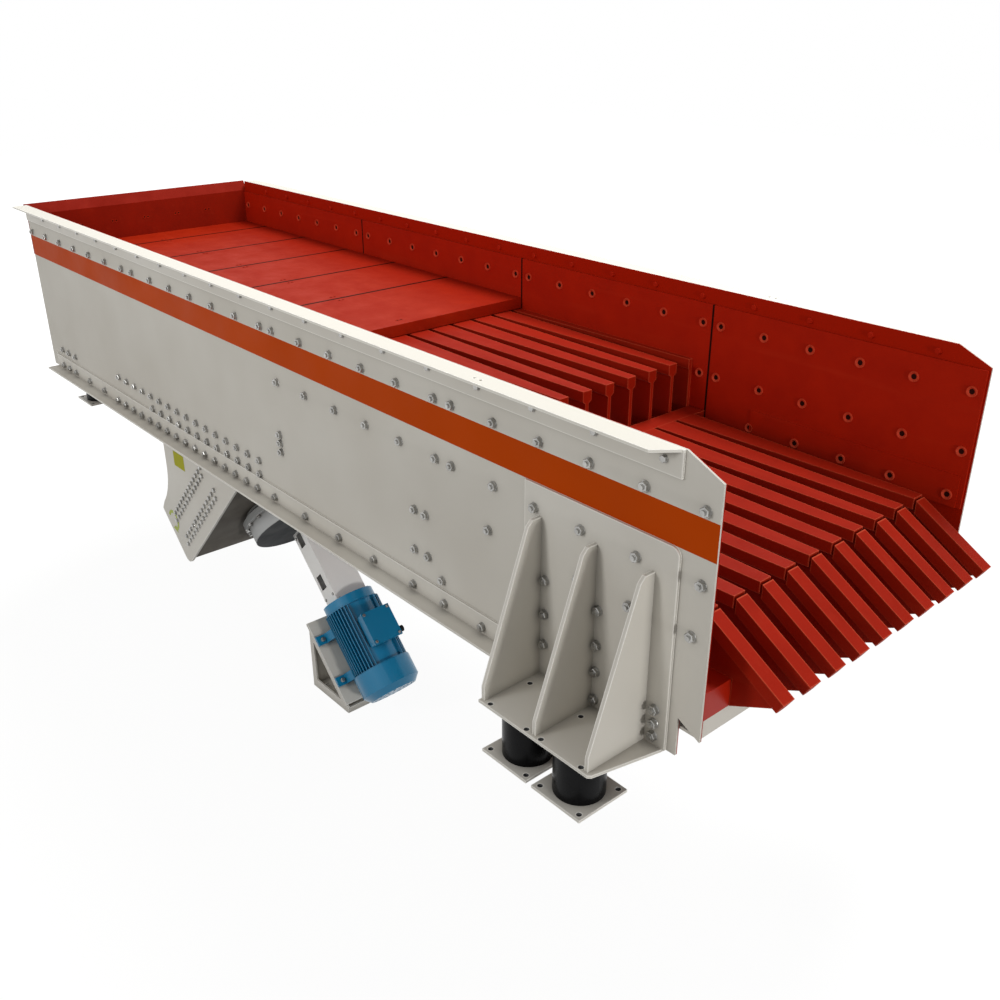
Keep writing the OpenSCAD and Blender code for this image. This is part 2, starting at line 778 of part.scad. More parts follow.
// Folded cover: a top and two walls, with two windows in the outer wall
module guard_cover() color(paint) drive() translate([0, -shaft_y, 0]) difference() {
    translate([guard_top, -guard_w / 2, guard_z0])
        cube([guard_low - guard_top, guard_w, guard_z1 - guard_z0]);
    translate([guard_top + sheet_t, -guard_w / 2 + sheet_t, guard_z0 - 1])
        cube([guard_low - guard_top, guard_w - 2 * sheet_t, guard_z1 - guard_z0 + 2]);
    for (z = [guard_z0 + 14, motor_z - 206])
        translate([-25, -guard_w / 2 - 1, z]) cube([78, sheet_t + 2, 95]);
}

// Bottom sheet with two upturned edges inside the cover
module guard_tray() color(paint) drive() translate([0, -shaft_y, 0]) {
    lip = 20;
    inner = guard_w / 2 - sheet_t;
    translate([guard_low, -guard_w / 2, guard_z0])
        cube([sheet_t, guard_w, guard_z1 - guard_z0 - 10]);
    for (y = [-inner, inner - sheet_t]) translate([guard_low - lip, y, guard_z0])
        cube([lip + 1, sheet_t, guard_z1 - guard_z0 - 10]);
}

// Bent arm that holds the tray: its foot is bolted on the stand's upper end edge
module guard_bracket() color(paint) drive() translate([0, -shaft_y, 0]) {
    arm_t = 12;
    arm_z = motor_z - 40;
    translate([guard_low + sheet_t, -30, arm_z])
        cube([shaft_height + stand_top_t - guard_low - sheet_t, 60, arm_t]);
    translate([shaft_height, -30, arm_z]) cube([stand_top_t, 60, motor_z + 12 - arm_z]);
    translate([guard_low + sheet_t, -30, arm_z - 60]) cube([arm_t, 60, 61]);
}

// ---- Motor ----

module at_motor() drive() translate([0, -shaft_y, 0]) children();

// Frame section: a round barrel with radial fins, clear of the feet and the terminal box
module fin_section() {
    circle(barrel_r);
    for (i = [0 : fin_count - 1]) let (a = (i + 0.5) * 360 / fin_count)
        if (abs(a - 180) > 32 && a > 44 && a < 316)
            rotate(a) translate([barrel_r - 2, -2.5]) square([24, 5]);
}

module motor_frame() color(motor_blue) at_motor() difference() {
    union() {
        translate([0, 0, frame_z]) linear_extrude(frame_end - frame_z) fin_section();
        for (z = [foot_z, foot_z + foot_pitch_z], side = [0, 1]) mirror([0, side, 0])
            translate([0, 0, z - 30]) motor_foot();
        translate([-motor_r, -80, motor_z + 180]) cube([60, 160, 180]);
    }
    translate([0, 0, frame_z - 1]) cylinder(h = frame_end - frame_z + 2, r = core_r);
    for (z = [foot_z, foot_z + foot_pitch_z], y = [-foot_hole_y, foot_hole_y])
        translate([shaft_height - 40, y, z]) rotate([0, 90, 0]) cylinder(h = 60, d = 18.5);
}

// Foot pad with its rib up to the barrel
module motor_foot() linear_extrude(60) polygon(concat(
    [[shaft_height, 120], [shaft_height, 218], [shaft_height - 18, 218],
        [shaft_height - 18, 160]],
    [for (a = [53, 40, 24]) (barrel_r - 6) * [cos(a), sin(a)]],
    [[shaft_height - 40, 95]]
));

// One end shield: a dished disc with a bearing seat
module end_shield(len, r, seat_r, bearing_len) difference() {
    union() {
        cylinder(h = len, r = r);
        translate([0, 0, -8]) cylinder(h = 9, r = seat_r + 20);
    }
    translate([0, 0, len - 28]) cylinder(h = 29, r = core_r);
    translate([0, 0, len - 28 - bearing_len]) cylinder(h = bearing_len + 1, r = seat_r);
    translate([0, 0, -9]) cylinder(h = len, r = motor_shaft_d / 2 + 4);
}

module motor_end_shields() color(motor_blue) at_motor() {
    translate([0, 0, motor_z]) end_shield(shield_len, shield_r, 70, 26);
    translate([0, 0, cowl_z]) mirror([0, 0, 1]) end_shield(cowl_z - frame_end, motor_r, 60, 14);
}

module motor_bearings() color(bright_steel) at_motor() {
    translate([0, 0, motor_z + shield_len - 28 - 26])
        shaft_bearing(140, motor_shaft_d + 5, 26);
    translate([0, 0, frame_end + 28]) shaft_bearing(120, motor_shaft_d + 5, 14);
}

module stator_core() color("#7a4a2a") at_motor() difference() {
    union() {
        translate([0, 0, frame_z + 45]) cylinder(h = frame_end - frame_z - 90, r = core_r);
        translate([0, 0, frame_z + 5]) cylinder(h = frame_end - frame_z - 10, r = core_r - 12);
    }
    translate([0, 0, frame_z - 1]) cylinder(h = frame_end - frame_z + 2, r = rotor_r + air_gap);
}

// Rotor on its shaft, from the hub to the fan
module motor_rotor() color(bright_steel) at_motor() {
    translate([0, 0, motor_flange_z + 10])
        cylinder(h = motor_z - 8 - motor_flange_z - 10, d = motor_shaft_d);
    translate([0, 0, motor_z - 9]) cylinder(h = cowl_z - motor_z + 70, d = motor_shaft_d + 5);
    translate([0, 0, frame_z + 45]) cylinder(h = frame_end - frame_z - 90, r = rotor_r);
}

module motor_fan() color(dark_steel) at_motor() translate([0, 0, cowl_z + 22]) {
    difference() {
        union() {
            cylinder(h = 40, d = motor_shaft_d + 45);
            cylinder(h = 5, r = motor_r - 44);
            for (i = [0 : 7]) rotate([0, 0, i * 45]) translate([40, -3, 0])
                cube([motor_r - 84, 6, 55]);
        }
        translate([0, 0, -1]) cylinder(h = 60, d = motor_shaft_d + 5);
    }
}

// Fan cover: a turned cup over the end shield, with rings of slots in its end
module fan_cover() color(motor_blue) at_motor() difference() {
    w = 3;
    translate([0, 0, frame_end + 6]) rotate_extrude() polygon([
        [motor_r, 0], [motor_r + w, 0], [motor_r + w, motor_end - frame_end - 46],
        [motor_r - 35, motor_end - frame_end - 6], [0, motor_end - frame_end - 6],
        [0, motor_end - frame_end - 6 - w], [motor_r - 36, motor_end - frame_end - 6 - w],
        [motor_r, motor_end - frame_end - 47]
    ]);
    for (k = [3, 5, 7, 9], i = [0 : 15]) let (r = (motor_r - 58) * k / 9)
        rotate([0, 0, i * 22.5]) translate([r, 0, motor_end - 20])
            cylinder(h = 40, r = r * 0.09 + 2, $fn = 6);
}

module terminal_box() color(motor_blue) at_motor() {
    z0 = motor_z + 167;
    translate([-motor_r - 56, -95, z0 + 5]) cube([56, 190, 200]);
    translate([-motor_r - 70, -100, z0]) cube([15, 200, 210]);
}

// Cable gland in the wall of the terminal box, with a clear bore
module cable_gland() color(dark_steel) at_motor()
    translate([-motor_r - 28, 95, motor_z + 340]) rotate([-90, 0, 0]) difference() {
        union() {
            cylinder(h = 12, d = 50, $fn = 6);
            cylinder(h = 42, d = 40);
        }
        translate([0, 0, -1]) cylinder(h = 44, d = 20);
    }

// ---- Motor stand ----

// Welded stand: sloping top plate, two triangular side frames, end plates and base
module motor_stand() color(paint) {
    y0 = -shaft_y;
    half = foot_hole_y + 32;
    base_z = -stand_drop;
    high = drive_point(shaft_height, motor_z + 12);
    low = drive_point(shaft_height, motor_z + motor_len - 70);
    drop = stand_top_t / cos(throw_angle);
    band = 40;
    base_t = 15;
    sill = 60;
    slope_pts = [[high[0], high[1] - drop], [low[0], low[1] - drop]];
    window = slope_pts[0][1] - base_z - sill - band / cos(throw_angle);
    // Sloping plate with the motor's holding-down holes
    drive() translate([0, y0, 0]) difference() {
        translate([shaft_height, -half - 10, motor_z + 12])
            cube([stand_top_t, 2 * half + 20, motor_len - 82]);
        for (z = [foot_z, foot_z + foot_pitch_z], y = [-foot_hole_y, foot_hole_y])
            translate([shaft_height - 1, y, z]) rotate([0, 90, 0])
                cylinder(h = stand_top_t + 2, d = 18.5);
    }
    // Side frames with their triangular windows
    for (y = [y0 - half + stand_wall, y0 + half]) across(y, stand_wall) difference() {
        polygon([[high[0], base_z], [low[0], base_z], slope_pts[1] + [0, 1],
            slope_pts[0] + [0, 1]]);
        polygon([
            [high[0] + band, base_z + sill], [high[0] + window, base_z + sill],
            [high[0] + band, base_z + sill + window - band]
        ]);
    }
    // End plates
    for (p = [[high[0], slope_pts[0][1]], [low[0] - stand_wall, slope_pts[1][1]]])
        translate([p[0], y0 - half + 1, base_z])
            cube([stand_wall, 2 * half - 2, p[1] - base_z - (p[0] == high[0] ? 8 : 0)]);
    // Base plate with four holding-down holes
    difference() {
        translate([high[0], y0 - half, base_z]) cube([low[0] - high[0], 2 * half, base_t]);
        for (x = [high[0] + 70, low[0] - 70], y = [y0 - 150, y0 + 150])
            translate([x, y, base_z - 1]) cylinder(h = base_t + 2, d = foot_hole_d);
    }
}

side_plate();  // side_plate_left
right() side_plate();  // side_plate_right
liners();  // liners_left
right() liners();  // liners_right
pan_plate();
wear_plates();
pan_lip();
rear_plate();
step_plate();
upper_bars();
lower_bars();
front_beam();
step_beam();
lip_beam();
pan_beams();
top_angle();  // top_angle_left
right() top_angle();  // top_angle_right
bottom_angle();  // bottom_angle_left
right() bottom_angle();  // bottom_angle_right
front_bracket();  // front_bracket_left
right() front_bracket();  // front_bracket_right
rear_bracket();  // rear_bracket_left
right() rear_bracket();  // rear_bracket_right
front_springs();
rear_springs();
front_feet();
rear_feet();
bridge_beam();
bridge_plate();  // bridge_plate_left
right() bridge_plate();  // bridge_plate_right
exciter_housing();
exciter_cover_front();
exciter_cover_rear();
exciter_bearings();
drive_shaft();
idler_shaft();
drive_gear();
idler_gear();
drive_weights();
idler_weights();
exciter_yoke();
cardan_shaft();
cardan_crosses();
motor_yoke();
motor_hub();
guard_cover();
guard_tray();
guard_bracket();
motor_frame();
motor_end_shields();
fan_cover();
motor_fan();
motor_rotor();
stator_core();
motor_bearings();
terminal_box();
cable_gland();
motor_stand();
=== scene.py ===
import bpy
import bmesh
import math
from mathutils import Matrix, Vector


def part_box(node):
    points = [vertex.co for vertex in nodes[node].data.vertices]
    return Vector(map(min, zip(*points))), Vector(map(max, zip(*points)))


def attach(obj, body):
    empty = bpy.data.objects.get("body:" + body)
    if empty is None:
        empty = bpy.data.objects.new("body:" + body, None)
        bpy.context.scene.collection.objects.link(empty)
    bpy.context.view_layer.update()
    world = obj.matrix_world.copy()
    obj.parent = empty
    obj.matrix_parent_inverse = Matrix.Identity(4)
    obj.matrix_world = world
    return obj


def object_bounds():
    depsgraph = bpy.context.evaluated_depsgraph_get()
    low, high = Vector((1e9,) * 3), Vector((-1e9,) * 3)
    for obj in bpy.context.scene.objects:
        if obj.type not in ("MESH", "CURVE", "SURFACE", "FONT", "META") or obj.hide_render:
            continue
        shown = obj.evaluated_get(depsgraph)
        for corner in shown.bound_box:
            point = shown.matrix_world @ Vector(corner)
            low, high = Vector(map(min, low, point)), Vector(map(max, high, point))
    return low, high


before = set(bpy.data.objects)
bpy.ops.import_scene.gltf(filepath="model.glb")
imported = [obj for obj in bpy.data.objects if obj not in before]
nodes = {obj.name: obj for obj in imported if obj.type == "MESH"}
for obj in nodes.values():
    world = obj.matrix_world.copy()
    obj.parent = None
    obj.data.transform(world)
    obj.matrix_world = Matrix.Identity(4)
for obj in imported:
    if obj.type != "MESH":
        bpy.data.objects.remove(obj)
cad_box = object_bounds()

MM = 0.001

# ---------------------------------------------------------------------------
# Places: s is a distance behind the discharge edge, t a depth below the top edge
# ---------------------------------------------------------------------------

plate_lo, plate_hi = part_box("side_plate_left")
FRONT, TOP = plate_hi.x, plate_hi.z
REAR, BOTTOM = plate_lo.x, plate_lo.z
OUTER, INNER = plate_hi.y, plate_lo.y
ANGLE_T = 0.010
DOUBLER_T = OUTER - INNER
SIDES = ((-1, "right"), (1, "left"))
# Inner face of the wall liners, where there are two layers and where there is one
LINED_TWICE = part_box("liners_left")[0].y
LINED_ONCE = LINED_TWICE + 0.005
# The second layer starts at this depth t and ends at this distance s, in mm
LAYER_TOP, LAYER_REAR = 545, 1100

THROW = math.radians(45)
STROKE_LINE = Vector((math.cos(THROW), 0, math.sin(THROW)))
SHAFT_LINE = Vector((math.sin(THROW), 0, -math.cos(THROW)))
# The exciter's mounting face on the middle plane of the trough
DRIVE = Vector((FRONT - 3.719, 0, TOP - 1.602))
# The exciter's two shafts are this far in mm to either side of the middle plane
HALF_GAP = 257


def wall(side, s, t, out):
    """A point on a side wall: side is -1 right or 1 left, s and t in mm, out in metres."""
    return Vector((FRONT - s * MM, side * out, TOP - t * MM))


def drive(x, y, z):
    """A point of the drive: x down and back, y across, z along the shafts, in mm."""
    return DRIVE + Vector((0, y * MM, 0)) - STROKE_LINE * x * MM + SHAFT_LINE * z * MM


def facing(place, normal, spin=0.0):
    """Matrix that stands a fastener on a surface at place, its head along normal."""
    turn = Vector(normal).to_track_quat("Z", "X").to_matrix().to_4x4()
    return Matrix.Translation(place) @ turn @ Matrix.Rotation(spin, 4, "Z")


def row(first, pitch, count):
    return [first + pitch * i for i in range(count)]


# ---------------------------------------------------------------------------
# Material helpers
# ---------------------------------------------------------------------------

def colour(text):
    """sRGB hex to the linear RGBA that Blender's sockets take."""
    parts = [int(text[i:i + 2], 16) / 255 for i in (1, 3, 5)]
    return tuple(c / 12.92 if c <= 0.04045 else ((c + 0.055) / 1.055) ** 2.4
                 for c in parts) + (1.0,)


def add(tree, kind, inputs=None, **settings):
    """Adds one node with its settings and links. An input takes a number, a vector, a hex
    colour, another node's output, or the node itself, which gives its first live output."""
    node = tree.nodes.new(kind)
    for name, value in settings.items():
        setattr(node, name, value)
    for key, value in (inputs or {}).items():
        if isinstance(value, bpy.types.Node):
            value = next(out for out in value.outputs if out.enabled)
        if isinstance(value, bpy.types.NodeSocket):
            tree.links.new(value, node.inputs[key])
        elif isinstance(value, str):
            node.inputs[key].default_value = colour(value)
        else:
            node.inputs[key].default_value = value
    return node


def new_material(name):
    """An empty material, its node tree and the place of a point on the object."""
    mat = bpy.data.materials.new(name)
    mat.use_nodes = True
    tree = mat.node_tree
    tree.nodes.clear()
    place = add(tree, "ShaderNodeTexCoord").outputs["Object"]
    return mat, tree, place


def blotches(tree, place, size_mm, detail=2.0, roughness=0.5, span=(0.3, 0.7), to=(0.0, 1.0)):
    """Cloudy blotches about size_mm across, whose span is drawn out over another range."""
    noise = add(tree, "ShaderNodeTexNoise", {
        "Vector": place, "Scale": 1000 / size_mm, "Detail": detail, "Roughness": roughness})
    return add(tree, "ShaderNodeMapRange", {
        "Value": noise, "From Min": span[0], "From Max": span[1],
        "To Min": to[0], "To Max": to[1]})


def relief(tree, place, size_mm, depth_mm, detail=1.0):
    """Fine ups and downs of a surface, size_mm across and depth_mm deep."""
    noise = add(tree, "ShaderNodeTexNoise", {
        "Vector": place, "Scale": 1000 / size_mm, "Detail": detail})
    return add(tree, "ShaderNodeBump", {
        "Height": noise, "Strength": 1.0, "Distance": depth_mm * MM})


def above(tree, place, height):
    """1 over a height in metres, 0 below it."""
    rise = add(tree, "ShaderNodeSeparateXYZ", {"Vector": place}).outputs["Z"]
    return add(tree, "ShaderNodeMath", {0: rise, 1: height}, operation="GREATER_THAN")


def painted_edge_highlight(tree, paint, tone, reach_mm=5.0):
    """Painted highlight: paint made paler on outer edges, which short rays into the solid find.
    """
    near = add(tree, "ShaderNodeAmbientOcclusion", {"Distance": reach_mm * MM},
               inside=True, only_local=True, samples=4)
    wear_and_highlight = add(tree, "ShaderNodeMapRange", {
        "Value": near.outputs["AO"], "From Min": 0.95, "From Max": 0.6})
    return add(tree, "ShaderNodeMix", {0: wear_and_highlight, 6: paint, 7: tone}, data_type="RGBA")


def painted_corner_shade(tree, paint, tone, reach_mm=45.0):
    """Painted shade: the paint is darkened in inner corners and round bolt heads, where short
    rays meet other surfaces.
    """
    near = add(tree, "ShaderNodeAmbientOcclusion", {"Distance": reach_mm * MM}, samples=4)
    shaded = add(tree, "ShaderNodeMapRange", {
        "Value": near.outputs["AO"], "From Min": 0.35, "From Max": 0.9,
        "To Min": 0.55, "To Max": 0.0})
    return add(tree, "ShaderNodeMix", {0: shaded, 6: paint, 7: tone}, data_type="RGBA")


def packed_grime(tree, place, paint, joints, width_mm, tone):
    """Dirt packed into the upright joints, each given as a distance s in mm."""
    along = add(tree, "ShaderNodeSeparateXYZ", {"Vector": place}).outputs["X"]
    dirty = 0.0
    for s in joints:
        off = add(tree, "ShaderNodeMath", {0: along, 1: FRONT - s * MM}, operation="SUBTRACT")
        gap = add(tree, "ShaderNodeMath", {0: off}, operation="ABSOLUTE")
        near = add(tree, "ShaderNodeMapRange", {
            "Value": gap, "From Min": width_mm * MM / 2, "From Max": width_mm * MM,
            "To Min": 1.0, "To Max": 0.0})
        dirty = add(tree, "ShaderNodeMath", {0: dirty, 1: near}, operation="MAXIMUM")
    return add(tree, "ShaderNodeMix", {0: dirty, 6: paint, 7: tone}, data_type="RGBA")


# ---------------------------------------------------------------------------
# Materials
# ---------------------------------------------------------------------------

def enamel(name, base, tint, roughness=0.42, peel_mm=14.0, coat=0.0, shine=0.2, mask=None,
           edge_highlight=None, shade_tone="#5E5850"):
    """Sprayed enamel on steel plate: even colour with slow drifts of tone, a faint
    orange-peel ripple and a soft gloss that varies a little from place to place."""
    mat, tree, place = new_material(name)
    drift = blotches(tree, place, 900, detail=3.0, span=(0.35, 0.65))
    paint = add(tree, "ShaderNodeMix", {0: drift, 6: base, 7: tint}, data_type="RGBA")
    # Painted shade: the paint is darkened in inner corners, under flanges and round bolt heads
    paint = painted_corner_shade(tree, paint, shade_tone)
    if mask:
        paint = mask(tree, place, paint)
    # Outer edges get a painted highlight
    if edge_highlight:
        paint = painted_edge_highlight(tree, paint, edge_highlight)
    patchy = blotches(tree, place, 260, detail=4.0, roughness=0.6,
                      to=(roughness - 0.06, roughness + 0.08))
    # Real orange peel is 1 to 3 mm across; it is drawn coarser so that it shows
    peel = relief(tree, place, peel_mm, 0.12)
    shader = add(tree, "ShaderNodeBsdfPrincipled", {
        "Base Color": paint, "Roughness": patchy, "Specular IOR Level": shine,
        "Coat Weight": coat, "Normal": peel})
    add(tree, "ShaderNodeOutputMaterial", {"Surface": shader})
    return mat


LINING = "#A01A03"
STRIPE_TOP, STRIPE_LOW = 204, 341
# Paint that runs a little way round an edge
OVERSPRAY = 0.004


def stripe_and_lining(tree, place, paint):
    """An orange band along the outer face, and red paint on the face towards the rock."""
    across = add(tree, "ShaderNodeSeparateXYZ", {"Vector": place}).outputs["Y"]
    out = add(tree, "ShaderNodeMath", {0: across}, operation="ABSOLUTE")
    outside = add(tree, "ShaderNodeMath", {0: out, 1: OUTER - 0.0005},
                  operation="GREATER_THAN")
    inside = add(tree, "ShaderNodeMath", {0: out, 1: INNER + OVERSPRAY}, operation="LESS_THAN")
    high = above(tree, place, TOP - STRIPE_LOW * MM)
    too_high = above(tree, place, TOP - STRIPE_TOP * MM)
    level = add(tree, "ShaderNodeMath", {0: high, 1: too_high}, operation="SUBTRACT")
    band = add(tree, "ShaderNodeMath", {0: level, 1: outside}, operation="MULTIPLY")
    orange = add(tree, "ShaderNodeMix", {
        0: blotches(tree, place, 700), 6: "#BC4400", 7: "#B23F00"}, data_type="RGBA")
    striped = add(tree, "ShaderNodeMix", {0: band, 6: paint, 7: orange}, data_type="RGBA")
    return add(tree, "ShaderNodeMix", {0: inside, 6: striped, 7: LINING}, data_type="RGBA")


def painted_above(depth, film):
    """Mask that paints everything above a depth below the top edge, in metres."""
    def mask(tree, place, paint):
        return add(tree, "ShaderNodeMix", {
            0: above(tree, place, TOP - depth), 6: paint, 7: film}, data_type="RGBA")
    return mask


def painted_downhill_shade(limit, film):
    """Mask for the downhill face of the exciter and its bridge, beyond limit in mm along
    the shafts, which is painted darker in clouds as painted shade."""
    def mask(tree, place, paint):
        along = add(tree, "ShaderNodeVectorMath", {0: place, 1: SHAFT_LINE},
                    operation="DOT_PRODUCT")
        beyond = add(tree, "ShaderNodeMath", {0: along, 1: DRIVE.dot(SHAFT_LINE) + limit * MM},
                     operation="GREATER_THAN")
        cloudy = blotches(tree, place, 220, detail=3.0, to=(0.85, 1.0))
        cover = add(tree, "ShaderNodeMath", {0: beyond, 1: cloudy}, operation="MULTIPLY")
        return add(tree, "ShaderNodeMix", {0: cover, 6: paint, 7: film}, data_type="RGBA")
    return mask


GREY_LIGHT, GREY_DARK = "#D6D2C9", "#CDC8BE"
# Colour of the painted highlight on outer edges
PAINTED_EDGE_HIGHLIGHT = "#F6F3EC"
side_enamel = enamel("side_plate_enamel", GREY_LIGHT, GREY_DARK, roughness=0.48, shine=0.04,
                     mask=stripe_and_lining)
frame_enamel = enamel("frame_enamel", GREY_LIGHT, GREY_DARK, edge_highlight=PAINTED_EDGE_HIGHLIGHT)
# The front beam is red where rock can reach it
beam_enamel = enamel("front_beam_enamel", GREY_LIGHT, GREY_DARK,
                     mask=painted_above(0.964, LINING))
# The flange on top of an edge angle is painted paler than the leg that hangs from it,
# as a painted highlight on the face that turns up to the lamps
angle_enamel = enamel("edge_angle_enamel", GREY_LIGHT, GREY_DARK, roughness=0.38,
                      mask=painted_above(ANGLE_T + 0.0008, "#DEDACF"), edge_highlight=PAINTED_EDGE_HIGHLIGHT)
# The bridge's downhill face gets painted shade
bridge_enamel = enamel("bridge_enamel", GREY_LIGHT, GREY_DARK, roughness=0.6, shine=0.03,
                       mask=painted_downhill_shade(-2, "#66615A"), edge_highlight=PAINTED_EDGE_HIGHLIGHT)
# The guard's grey is painted paler than the frame's, as painted light on a part that sits in
# the trough's shade
guard_enamel = enamel("guard_enamel", "#ECE9E2", "#E3DFD7", edge_highlight="#FBF9F5")
# The motor's painted shade in its fins and corners is a dark blue
motor_enamel = enamel("motor_enamel", "#1380AC", "#0E739C", roughness=0.33, peel_mm=9,
                      coat=0.25, shine=0.35, shade_tone="#0A4A63")
# The exciter's downhill cover face gets painted shade
exciter_enamel = enamel("exciter_enamel", "#CBCCCB", "#BEBFBE", roughness=0.55, peel_mm=7,
                        shine=0.02, mask=painted_downhill_shade(170, "#3B3D3F"), edge_highlight="#C9CAC9")


def oxide_paint(name, base, tint, dust, roughness, shine=0.07, joints=(), width_mm=5.0,
                edge_highlight=None, wall_shade=None):
    """Red-oxide paint on rolled wear plate: warm red with rubbed lighter streaks along
    the flow, faint mill-scale mottling under the film and a low sheen."""
    mat, tree, place = new_material(name)
    mottle = blotches(tree, place, 180, detail=5.0, roughness=0.65)
    paint = add(tree, "ShaderNodeMix", {0: mottle, 6: base, 7: tint}, data_type="RGBA")
    flow = add(tree, "ShaderNodeMapping", {"Vector": place, "Scale": (0.06, 1.0, 1.0)})
    streak = add(tree, "ShaderNodeTexNoise", {
        "Vector": flow, "Scale": 1000 / 60, "Detail": 3.0, "Roughness": 0.6})
    wear_and_highlight = add(tree, "ShaderNodeMapRange", {
        "Value": streak, "From Min": 0.58, "From Max": 0.8, "To Max": 0.45})
    paint = add(tree, "ShaderNodeMix", {0: wear_and_highlight, 6: paint, 7: dust}, data_type="RGBA")
    # Outer edges get a painted highlight
    if edge_highlight:
        paint = painted_edge_highlight(tree, paint, edge_highlight)
    if wall_shade:
        # The sides of the pan are painted darker than its middle, as painted shade beside the
        # walls
        across = add(tree, "ShaderNodeSeparateXYZ", {"Vector": place}).outputs["Y"]
        out = add(tree, "ShaderNodeMath", {0: across}, operation="ABSOLUTE")
        ragged = add(tree, "ShaderNodeMath", {0: mottle, 1: 0.12}, operation="MULTIPLY")
        off = add(tree, "ShaderNodeMath", {0: out, 1: ragged}, operation="ADD")
        beside = add(tree, "ShaderNodeMapRange", {
            "Value": off, "From Min": 0.3, "From Max": 0.95})
        paint = add(tree, "ShaderNodeMix", {0: beside, 6: paint, 7: wall_shade}, data_type="RGBA")
    if joints:
        paint = packed_grime(tree, place, paint, joints, width_mm, "#230602")
    sheen = add(tree, "ShaderNodeMapRange", {
        "Value": mottle, "To Min": roughness - 0.05, "To Max": roughness + 0.1})
    fine = add(tree, "ShaderNodeTexNoise", {"Vector": place, "Scale": 1000 / 16, "Detail": 2.0})
    ridges = add(tree, "ShaderNodeMath", {0: streak, 1: 0.5}, operation="MULTIPLY")
    grain = add(tree, "ShaderNodeMath", {0: fine, 1: ridges}, operation="ADD")
    scale = add(tree, "ShaderNodeBump", {
        "Height": grain, "Strength": 1.0, "Distance": 0.25 * MM})
    shader = add(tree, "ShaderNodeBsdfPrincipled", {
        "Base Color": paint, "Roughness": sheen, "Specular IOR Level": shine,
        "Normal": scale})
    add(tree, "ShaderNodeOutputMaterial", {"Surface": shader})
    return mat


PAN_JOINTS = row(3488, 576, 5)
LINER_JOINTS = [1381, 2784, 4436]
wear_paint = oxide_paint("wear_plate_red", "#A3260B", "#961E07", "#B03820", 0.5, shine=0.05,
                         joints=PAN_JOINTS, width_mm=14, wall_shade="#8A1504")
bar_paint = oxide_paint("grizzly_bar_red", "#9A1C06", "#8E1804", "#A32C15", 0.55,
                        edge_highlight="#B5452C")
liner_paint = oxide_paint("liner_red", "#A81D04", "#9C1803", "#AD2A12", 0.6,
                          joints=LINER_JOINTS, width_mm=8)
# The rear plate's red is painted darker than the liners', as painted shade
rear_paint = oxide_paint("rear_plate_red", "#8A1804", "#7E1403", "#93240E", 0.6)
screw_paint = oxide_paint("screw_rim_red", "#BE3F28", "#B23820", "#C95A42", 0.5)
# The bottom of each screw's seat is painted near black, as painted shade
socket_shade = oxide_paint("socket_painted_shade", "#2E0803", "#240602", "#3A0F07", 0.6)


def worn_steel(name, base, tint, roughness, grain_mm, metallic=1.0):
    """Bare steel: fine grain, a slight unevenness of tone and a broad highlight."""
    mat, tree, place = new_material(name)
    tone = add(tree, "ShaderNodeMix", {
        0: blotches(tree, place, grain_mm * 6, detail=3.0), 6: base, 7: tint},
        data_type="RGBA")
    grain = add(tree, "ShaderNodeTexNoise", {
        "Vector": place, "Scale": 1000 / grain_mm, "Detail": 3.0, "Roughness": 0.6})
    dulled = add(tree, "ShaderNodeMapRange", {
        "Value": grain, "From Min": 0.3, "From Max": 0.7,
        "To Min": roughness - 0.08, "To Max": roughness + 0.1})
    scratches = add(tree, "ShaderNodeBump", {
        "Height": grain, "Strength": 1.0, "Distance": 0.05 * MM})
    shader = add(tree, "ShaderNodeBsdfPrincipled", {
        "Base Color": tone, "Metallic": metallic, "Roughness": dulled, "Normal": scratches})
    add(tree, "ShaderNodeOutputMaterial", {"Surface": shader})
    return mat


# Hot-dip galvanised fasteners: dull pale grey with faint spangle
galvanised = worn_steel("galvanised_bolt", "#B3B2AF", "#959491", 0.32, 9, metallic=0.9)
# Turned shaft steel, bright between its tool marks
turned_steel = worn_steel("turned_steel", "#B4B4B2", "#9C9C9B", 0.28, 4)
# Forged steel with its black scale
forged_steel = worn_steel("black_forged_steel", "#3A3B3C", "#2C2D2E", 0.5, 8, metallic=0.6)
# Varnished stator laminations
stator_varnish = worn_steel("stator_varnish", "#6A3A20", "#55301C", 0.4, 5, metallic=0.2)


def rubber(name):
    """Black natural rubber, compression-moulded: near black, a soft waxy sheen and a
    pale bloom in faint blotches."""
    mat, tree, place = new_material(name)
    bloom = blotches(tree, place, 70, detail=4.0, roughness=0.6, span=(0.45, 0.75),
                     to=(0.0, 0.5))
    black = add(tree, "ShaderNodeMix", {0: bloom, 6: "#0C0C0D", 7: "#161617"},
                data_type="RGBA")
    sheen = add(tree, "ShaderNodeMapRange", {
        "Value": bloom, "From Max": 0.5, "To Min": 0.26, "To Max": 0.4})
    shader = add(tree, "ShaderNodeBsdfPrincipled", {
        "Base Color": black, "Roughness": sheen, "Specular IOR Level": 0.08,
        "Normal": relief(tree, place, 5, 0.05, detail=2.0)})
    add(tree, "ShaderNodeOutputMaterial", {"Surface": shader})
    return mat


def moulded_plastic(name, base, tint):
    """Moulded nylon: fine spark-eroded texture with a low gloss."""
    mat, tree, place = new_material(name)
    cloud = add(tree, "ShaderNodeTexNoise", {"Vector": place, "Scale": 1000 / 30})
    tone = add(tree, "ShaderNodeMix", {0: cloud, 6: base, 7: tint}, data_type="RGBA")
    shader = add(tree, "ShaderNodeBsdfPrincipled", {
        "Base Color": tone, "Roughness": 0.5, "Specular IOR Level": 0.1,
        "Normal": relief(tree, place, 1.5, 0.04)})
    add(tree, "ShaderNodeOutputMaterial", {"Surface": shader})
    return mat


spring_rubber = rubber("spring_rubber")
fan_nylon = moulded_plastic("fan_nylon", "#2C2D2F", "#242527")
gland_nylon = moulded_plastic("gland_nylon", "#1E1F20", "#19191A")
yellow_film = moulded_plastic("yellow_film", "#ABA800", "#A09D00")
green_film = moulded_plastic("green_film", "#B4BF62", "#A9B559")

